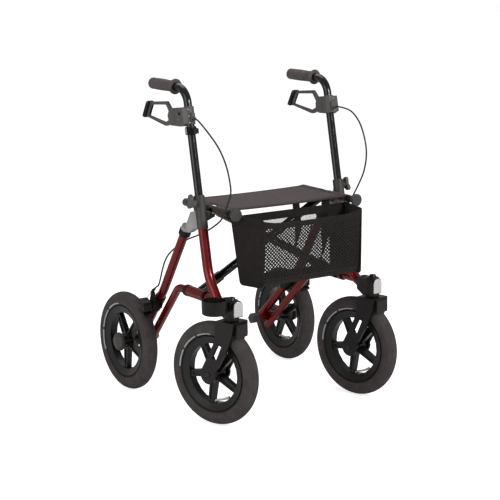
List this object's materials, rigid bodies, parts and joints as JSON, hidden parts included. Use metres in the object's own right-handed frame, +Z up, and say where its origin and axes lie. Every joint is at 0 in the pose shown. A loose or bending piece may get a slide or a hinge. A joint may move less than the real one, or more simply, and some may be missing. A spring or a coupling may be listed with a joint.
{
  "type": "outdoor rollator",
  "caption": "Folding walking aid with air-filled wheels, swivelling front casters, height-adjustable handles with loop brakes, a sling seat and a front basket.",
  "frame": {"origin": "on the floor, at the middle of the whole part's width and length", "axes": "+Z up, -Y towards the front with the basket and casters, +Y towards the user, who stands behind the seat, and +X towards the user's left"},
  "size_m": [0.6973, 0.7527, 0.978],
  "materials": {
    "red_frame": "gloss",
    "black_tube": "gloss",
    "black_plastic": "satin",
    "dark_grey_plastic": "satin",
    "light_grey_plastic": "satin",
    "grip_rubber": "matte",
    "tyre_rubber": "matte",
    "bright_steel": "satin",
    "cable_jacket": "satin",
    "reflector_lens": "gloss",
    "seat_cloth": "matte",
    "basket_cloth": "matte"
  },
  "bodies": {
    "right_frame": {"front_leg_right": "red_frame", "rear_leg_right": "red_frame", "lower_rail_right": "red_frame", "leg_bracket_right": "light_grey_plastic", "post_socket_right": "dark_grey_plastic", "caster_housing_right": "black_plastic", "reflector_right": "reflector_lens", "rear_axle_right": "bright_steel", "brake_bracket_right": "black_plastic", "brake_cable_right": "cable_jacket", "cane_cup": "black_plastic"},
    "left_frame": {"front_leg_left": "red_frame", "rear_leg_left": "red_frame", "lower_rail_left": "red_frame", "leg_bracket_left": "light_grey_plastic", "post_socket_left": "dark_grey_plastic", "caster_housing_left": "black_plastic", "reflector_left": "reflector_lens", "rear_axle_left": "bright_steel", "brake_bracket_left": "black_plastic", "brake_cable_left": "cable_jacket"},
    "arm_a": {"cross_arm_a": "black_tube", "cross_pivot": "bright_steel"},
    "arm_b": {"cross_arm_b": "black_tube"},
    "right_rail": {"seat_rail_right": "black_tube", "rail_tip_right": "dark_grey_plastic", "basket_side_right": "basket_cloth", "seat": "seat_cloth", "basket_net": "basket_cloth"},
    "left_rail": {"seat_rail_left": "black_tube", "rail_tip_left": "dark_grey_plastic", "basket_side_left": "basket_cloth"},
    "right_handle": {"handle_post_right": "black_tube", "grip_right": "grip_rubber", "lever_housing_right": "dark_grey_plastic", "cane_clip": "black_plastic"},
    "left_handle": {"handle_post_left": "black_tube", "grip_left": "grip_rubber", "lever_housing_left": "dark_grey_plastic"},
    "right_lever": {"brake_lever_right": "dark_grey_plastic"},
    "left_lever": {"brake_lever_left": "dark_grey_plastic"},
    "right_brake": {"brake_arm_right": "black_plastic"},
    "left_brake": {"brake_arm_left": "black_plastic"},
    "right_clamp": {"clamp_knob_right": "light_grey_plastic"},
    "left_clamp": {"clamp_knob_left": "light_grey_plastic"},
    "right_fork": {"fork_right": "black_plastic", "front_axle_right": "bright_steel"},
    "left_fork": {"fork_left": "black_plastic", "front_axle_left": "bright_steel"},
    "right_front_wheel": {"front_wheel_right": "black_plastic", "front_tyre_right": "tyre_rubber"},
    "left_front_wheel": {"front_wheel_left": "black_plastic", "front_tyre_left": "tyre_rubber"},
    "right_rear_wheel": {"rear_wheel_right": "black_plastic", "rear_tyre_right": "tyre_rubber", "hub_cap_right": "black_plastic"},
    "left_rear_wheel": {"rear_wheel_left": "black_plastic", "rear_tyre_left": "tyre_rubber", "hub_cap_left": "black_plastic"}
  },
  "joints": [
    {"name": "fold", "type": "hinge", "parent": "right_frame", "child": "arm_a", "pos_m": [-0.2535, -0.0985, 0.358], "axis": [0, -1, 0], "range_deg": [0, 28], "deforming": ["seat", "basket_net"]},
    {"name": "fold_cross", "type": "hinge", "parent": "arm_a", "child": "arm_b", "pos_m": [0, -0.11275, 0.49363], "axis": [0, -1, 0], "range_deg": [-56, 0]},
    {"name": "fold_left_frame", "type": "hinge", "parent": "arm_b", "child": "left_frame", "pos_m": [0.2535, -0.127, 0.358], "axis": [0, -1, 0], "range_deg": [0, 28]},
    {"name": "fold_left_rail", "type": "hinge", "parent": "arm_a", "child": "left_rail", "pos_m": [0.2175, -0.0985, 0.61], "axis": [0, -1, 0], "range_deg": [-28, 0]},
    {"name": "fold_right_rail", "type": "hinge", "parent": "arm_b", "child": "right_rail", "pos_m": [-0.2175, -0.127, 0.61], "axis": [0, -1, 0], "range_deg": [0, 28]},
    {"name": "handle_height_right", "type": "slide", "parent": "right_frame", "child": "right_handle", "axis": [0, 0.2079, 0.9781], "range_m": [-0.1, 0.03], "deforming": ["brake_cable_right"]},
    {"name": "handle_height_left", "type": "slide", "parent": "left_frame", "child": "left_handle", "axis": [0, 0.2079, 0.9781], "range_m": [-0.1, 0.03], "deforming": ["brake_cable_left"]},
    {"name": "lever_right", "type": "hinge", "parent": "right_handle", "child": "right_lever", "pos_m": [-0.268, -0.04, 0.87], "axis": [1, 0, 0], "range_deg": [0, 11], "stiffness_Nm_per_rad": 6, "springref_deg": -2.86},
    {"name": "lever_left", "type": "hinge", "parent": "left_handle", "child": "left_lever", "pos_m": [0.268, -0.04, 0.87], "axis": [1, 0, 0], "range_deg": [0, 11], "stiffness_Nm_per_rad": 6, "springref_deg": -2.86},
    {"name": "brake_right", "type": "hinge", "parent": "right_frame", "child": "right_brake", "pos_m": [-0.2993, 0.11349, 0.28694], "axis": [1, 0, 0], "range_deg": [0, 8]},
    {"name": "brake_left", "type": "hinge", "parent": "left_frame", "child": "left_brake", "pos_m": [0.2993, 0.11349, 0.28694], "axis": [1, 0, 0], "range_deg": [0, 8]},
    {"name": "clamp_right", "type": "hinge", "parent": "right_frame", "child": "right_clamp", "pos_m": [-0.2535, -0.11517, 0.634], "axis": [1, 0, 0], "continuous": true},
    {"name": "clamp_left", "type": "hinge", "parent": "left_frame", "child": "left_clamp", "pos_m": [0.2535, -0.11517, 0.634], "axis": [1, 0, 0], "continuous": true},
    {"name": "swivel_right", "type": "hinge", "parent": "right_frame", "child": "right_fork", "pos_m": [-0.2569, -0.2833, 0.34], "axis": [0, 0, 1], "continuous": true},
    {"name": "swivel_left", "type": "hinge", "parent": "left_frame", "child": "left_fork", "pos_m": [0.2569, -0.2833, 0.34], "axis": [0, 0, 1], "continuous": true},
    {"name": "front_spin_right", "type": "hinge", "parent": "right_fork", "child": "right_front_wheel", "pos_m": [-0.27434, -0.22589, 0.1525], "axis": [0.9568, 0.2907, 0], "continuous": true},
    {"name": "front_spin_left", "type": "hinge", "parent": "left_fork", "child": "left_front_wheel", "pos_m": [0.24484, -0.22453, 0.1525], "axis": [0.9796, 0.2011, 0], "continuous": true},
    {"name": "rear_spin_right", "type": "hinge", "parent": "right_frame", "child": "right_rear_wheel", "pos_m": [-0.2993, 0.2263, 0.1525], "axis": [1, 0, 0], "continuous": true},
    {"name": "rear_spin_left", "type": "hinge", "parent": "left_frame", "child": "left_rear_wheel", "pos_m": [0.2993, 0.2263, 0.1525], "axis": [1, 0, 0], "continuous": true}
  ],
  "couplings": [
    {"joint": "fold_cross", "follows": "fold", "ratio": -2},
    {"joint": "fold_left_frame", "follows": "fold", "ratio": 1},
    {"joint": "fold_left_rail", "follows": "fold", "ratio": -1},
    {"joint": "fold_right_rail", "follows": "fold", "ratio": 1},
    {"joint": "brake_right", "follows": "lever_right", "ratio": 0.7272},
    {"joint": "brake_left", "follows": "lever_left", "ratio": 0.7272}
  ]
}
